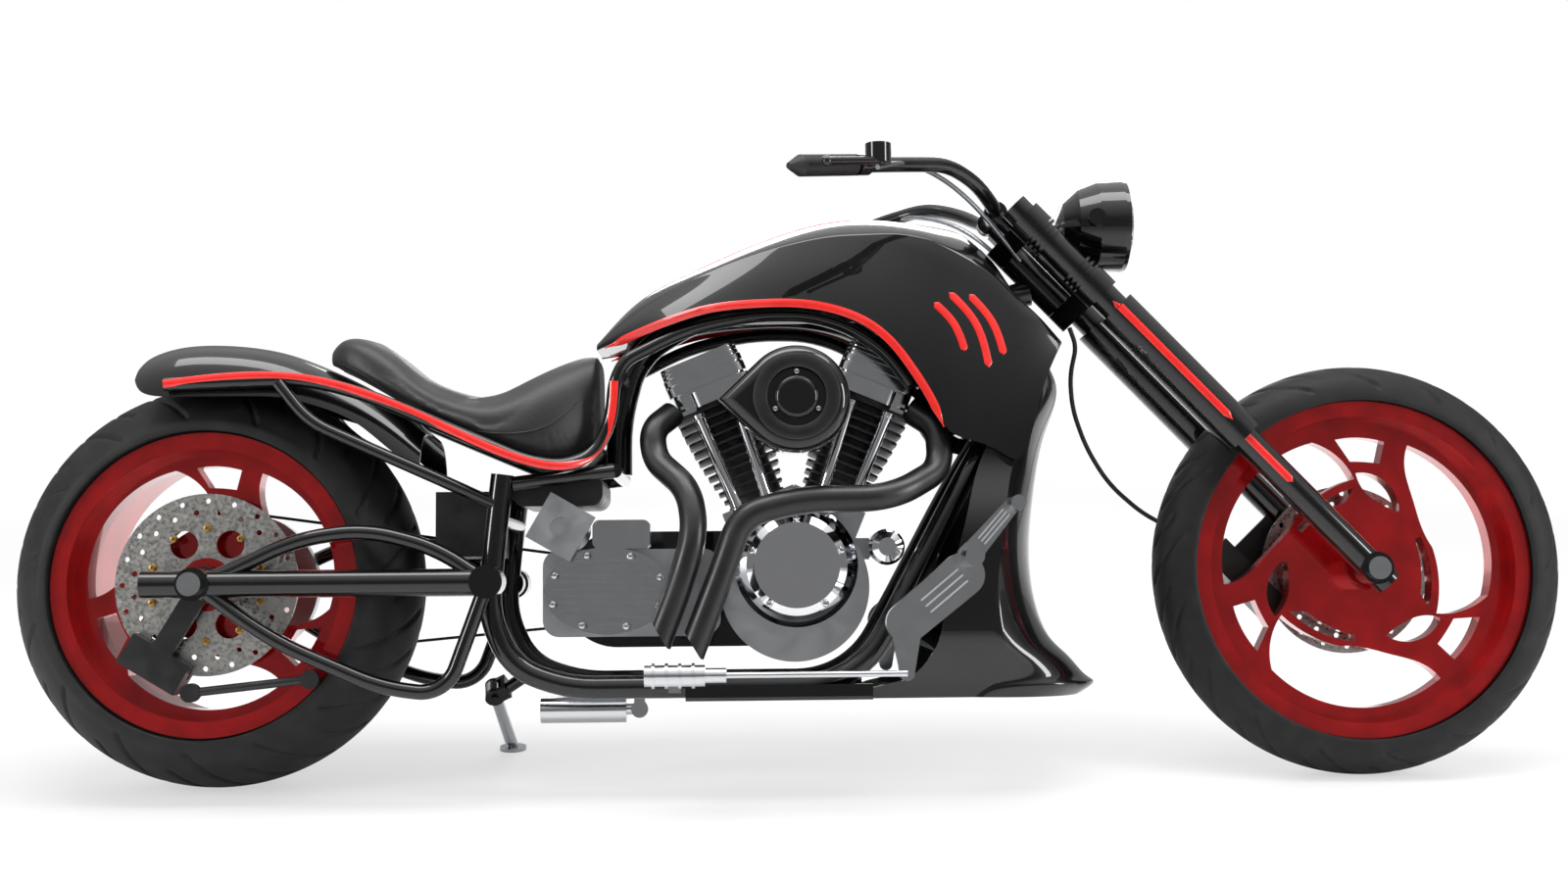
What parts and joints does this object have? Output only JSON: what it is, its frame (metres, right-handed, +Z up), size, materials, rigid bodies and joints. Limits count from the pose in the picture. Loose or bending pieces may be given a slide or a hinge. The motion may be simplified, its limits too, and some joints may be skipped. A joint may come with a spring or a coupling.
{
  "type": "chopper motorcycle",
  "caption": "Long raked two-wheeler with a finned V-twin engine, one saddle, wide rear tyre, swept bars, round headlight and lower fairing, leaning on its side stand.",
  "frame": {"origin": "middle of the bounding box's base, on the floor", "axes": "+X forward, +Y to the rider's left, +Z up; the bike leans 10 degrees to the left about the X direction"},
  "size_m": [2.6302, 0.8537, 1.0667],
  "materials": {
    "tyre": "matt",
    "candy_red": "gloss candy red",
    "disc_steel": "brushed",
    "bare_aluminium": "satin",
    "bare_steel": "satin",
    "dark_tube": "woven dark finish under clear coat",
    "black_gloss": "gloss",
    "black_satin": "satin",
    "black_paint": "gloss with red lines",
    "engine_black": "satin black with bright fin edges",
    "chrome": "polished",
    "grip_rubber": "matt",
    "hose_rubber": "satin",
    "lamp_glass": "clear",
    "seat_leather": "satin"
  },
  "bodies": {
    "chassis": {"rear_axle": "bare_steel", "frame_main": "black_gloss", "swingarm": "black_gloss", "crankcase": "engine_black", "cylinders": "engine_black", "cylinder_heads": "engine_black", "pushrod_tubes": "chrome", "cam_cover": "chrome", "carburettor": "bare_aluminium", "air_cleaner": "black_gloss", "exhaust_pipes": "black_satin", "oil_filter": "chrome", "gearbox": "engine_black", "gearbox_cover": "chrome", "starter_motor": "black_satin", "primary_cover": "black_satin", "drive_belt": "hose_rubber", "battery_and_oil_tank": "black_satin", "tank": "black_paint", "chin_fairing": "black_paint", "rear_fender": "black_paint", "seat": "seat_leather", "left_control": "black_satin", "right_control": "black_satin", "rear_caliper": "black_satin", "damper": "bare_aluminium"},
    "steering": {"fork_tubes": "dark_tube", "fork_lowers": "black_gloss", "fork_yokes": "black_gloss", "handlebar": "black_gloss", "grips": "grip_rubber", "hand_controls": "black_gloss", "headlight": "black_gloss", "headlight_lens": "lamp_glass", "front_caliper": "black_satin", "front_brake_hose": "hose_rubber", "front_axle": "bare_steel"},
    "front_wheel": {"front_tyre": "tyre", "front_rim": "candy_red", "front_disc": "disc_steel"},
    "rear_wheel": {"rear_tyre": "tyre", "rear_rim": "candy_red", "rear_disc": "disc_steel", "rear_pulley": "bare_aluminium"},
    "stand": {"side_stand": "black_satin"}
  },
  "joints": [
    {"name": "steering", "type": "hinge", "parent": "chassis", "child": "steering", "pos_m": [0.47649, -0.02105, 0.78802], "axis": [-0.6921, 0.1253, 0.7108], "range_deg": [-25, 25]},
    {"name": "front_wheel_spin", "type": "hinge", "parent": "steering", "child": "front_wheel", "pos_m": [0.965, -0.09897, 0.3461], "axis": [0, 0.9848, -0.1736], "continuous": true},
    {"name": "rear_wheel_spin", "type": "hinge", "parent": "chassis", "child": "rear_wheel", "pos_m": [-0.975, -0.10051, 0.33738], "axis": [0, 0.9848, -0.1736], "continuous": true},
    {"name": "side_stand", "type": "hinge", "parent": "chassis", "child": "stand", "pos_m": [-0.536, 0.01377, 0.12167], "axis": [-0.1273, 0.8821, 0.4535], "range_deg": [0, 100]}
  ]
}
